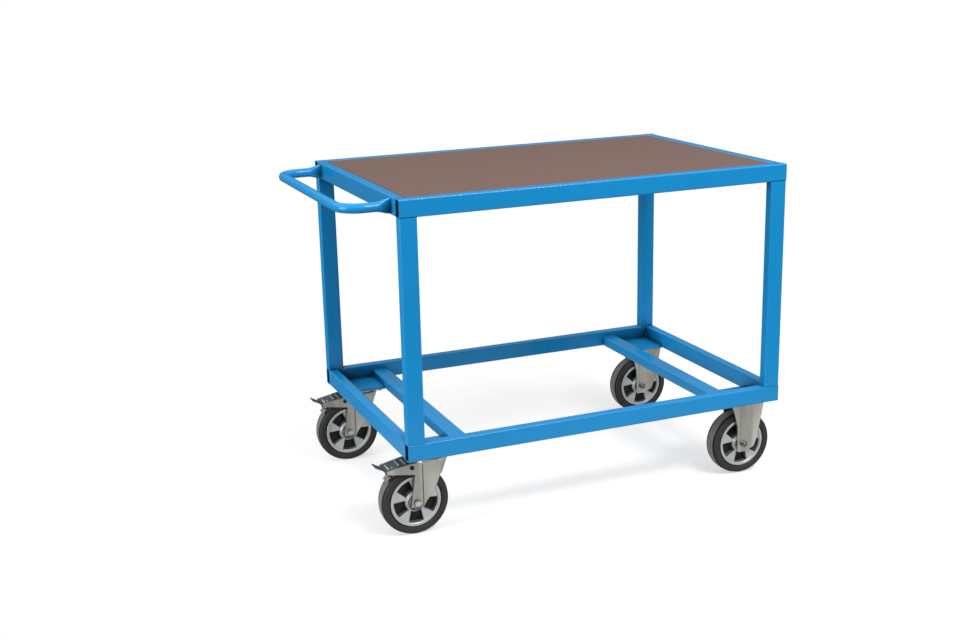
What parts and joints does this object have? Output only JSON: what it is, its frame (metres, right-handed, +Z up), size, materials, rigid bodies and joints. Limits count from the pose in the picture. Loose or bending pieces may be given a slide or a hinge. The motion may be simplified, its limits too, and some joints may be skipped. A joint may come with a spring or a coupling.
{
  "type": "mobile workbench",
  "caption": "Mobile workbench: a welded rectangular-tube table frame with a recessed board top and push handle, on braked swivel castors at the handle end and fixed castors at the other.",
  "frame": {"origin": "on the floor under the middle of the whole bench, handle included", "axes": "+X along the bench away from the push handle, +Y across it to the rear, +Z up"},
  "size_m": [1.3564, 0.8, 0.97],
  "materials": {
    "blue_paint": "semi-gloss",
    "brown_film_board": "smooth film-faced",
    "zinc_pressed_steel": "satin zinc plate",
    "cast_aluminium": "satin cast",
    "black_rubber": "matt",
    "dark_pedal_paint": "satin",
    "bearing_steel": "ground",
    "zinc_hardware": "bright zinc plate"
  },
  "bodies": {
    "frame": {"board_bearer": "blue_paint", "board_ledge_front": "blue_paint", "board_ledge_rear": "blue_paint", "board_screws": "zinc_hardware", "castor_bolts": "zinc_hardware", "castor_mount_plates": "blue_paint", "cross_member_left": "blue_paint", "cross_member_right": "blue_paint", "fixed_axle_bolts": "zinc_hardware", "fixed_axle_nuts": "zinc_hardware", "fixed_axle_tubes": "zinc_hardware", "fixed_fork_front_right": "zinc_pressed_steel", "fixed_fork_rear_right": "zinc_pressed_steel", "king_pin_front_left": "zinc_hardware", "king_pin_rear_left": "zinc_hardware", "leg_front_left": "blue_paint", "leg_front_right": "blue_paint", "leg_rear_left": "blue_paint", "leg_rear_right": "blue_paint", "lower_rail_front": "blue_paint", "lower_rail_left": "blue_paint", "lower_rail_rear": "blue_paint", "lower_rail_right": "blue_paint", "push_handle": "blue_paint", "swivel_balls_front_left": "bearing_steel", "swivel_balls_rear_left": "bearing_steel", "swivel_plate_front_left": "zinc_pressed_steel", "swivel_plate_rear_left": "zinc_pressed_steel", "top_rail_front": "blue_paint", "top_rail_left": "blue_paint", "top_rail_rear": "blue_paint", "top_rail_right": "blue_paint", "worktop_board": "brown_film_board"},
    "fork_front_left": {"axle_bolt_front_left": "zinc_hardware", "axle_nut_front_left": "zinc_hardware", "axle_tube_front_left": "zinc_hardware", "pedal_pin_front_left": "zinc_hardware", "swivel_fork_front_left": "zinc_pressed_steel"},
    "fork_rear_left": {"axle_bolt_rear_left": "zinc_hardware", "axle_nut_rear_left": "zinc_hardware", "axle_tube_rear_left": "zinc_hardware", "pedal_pin_rear_left": "zinc_hardware", "swivel_fork_rear_left": "zinc_pressed_steel"},
    "pedal_front_left": {"brake_pedal_front_left": "dark_pedal_paint", "brake_shoe_front_left": "zinc_hardware"},
    "pedal_rear_left": {"brake_pedal_rear_left": "dark_pedal_paint", "brake_shoe_rear_left": "zinc_hardware"},
    "wheel_front_left": {"rim_front_left": "cast_aluminium", "tyre_front_left": "black_rubber", "wheel_bearings_front_left": "bearing_steel"},
    "wheel_front_right": {"rim_front_right": "cast_aluminium", "tyre_front_right": "black_rubber", "wheel_bearings_front_right": "bearing_steel"},
    "wheel_rear_left": {"rim_rear_left": "cast_aluminium", "tyre_rear_left": "black_rubber", "wheel_bearings_rear_left": "bearing_steel"},
    "wheel_rear_right": {"rim_rear_right": "cast_aluminium", "tyre_rear_right": "black_rubber", "wheel_bearings_rear_right": "bearing_steel"}
  },
  "joints": [
    {"name": "swivel_front_left", "type": "hinge", "parent": "frame", "child": "fork_front_left", "pos_m": [-0.44177, -0.32, 0.221], "axis": [0, 0, 1], "continuous": true},
    {"name": "wheel_spin_front_left", "type": "hinge", "parent": "fork_front_left", "child": "wheel_front_left", "pos_m": [-0.49578, -0.32, 0.1], "axis": [0, 1, 0], "continuous": true},
    {"name": "brake_pedal_front_left", "type": "hinge", "parent": "fork_front_left", "child": "pedal_front_left", "pos_m": [-0.50777, -0.32, 0.2065], "axis": [0, -1, 0], "range_deg": [0, 3.5]},
    {"name": "wheel_spin_front_right", "type": "hinge", "parent": "frame", "child": "wheel_front_right", "pos_m": [0.57822, -0.32, 0.1], "axis": [0, 1, 0], "continuous": true},
    {"name": "swivel_rear_left", "type": "hinge", "parent": "frame", "child": "fork_rear_left", "pos_m": [-0.44177, 0.32, 0.221], "axis": [0, 0, 1], "continuous": true},
    {"name": "wheel_spin_rear_left", "type": "hinge", "parent": "fork_rear_left", "child": "wheel_rear_left", "pos_m": [-0.49578, 0.32, 0.1], "axis": [0, 1, 0], "continuous": true},
    {"name": "brake_pedal_rear_left", "type": "hinge", "parent": "fork_rear_left", "child": "pedal_rear_left", "pos_m": [-0.50777, 0.32, 0.2065], "axis": [0, -1, 0], "range_deg": [0, 3.5]},
    {"name": "wheel_spin_rear_right", "type": "hinge", "parent": "frame", "child": "wheel_rear_right", "pos_m": [0.57822, 0.32, 0.1], "axis": [0, 1, 0], "continuous": true}
  ]
}
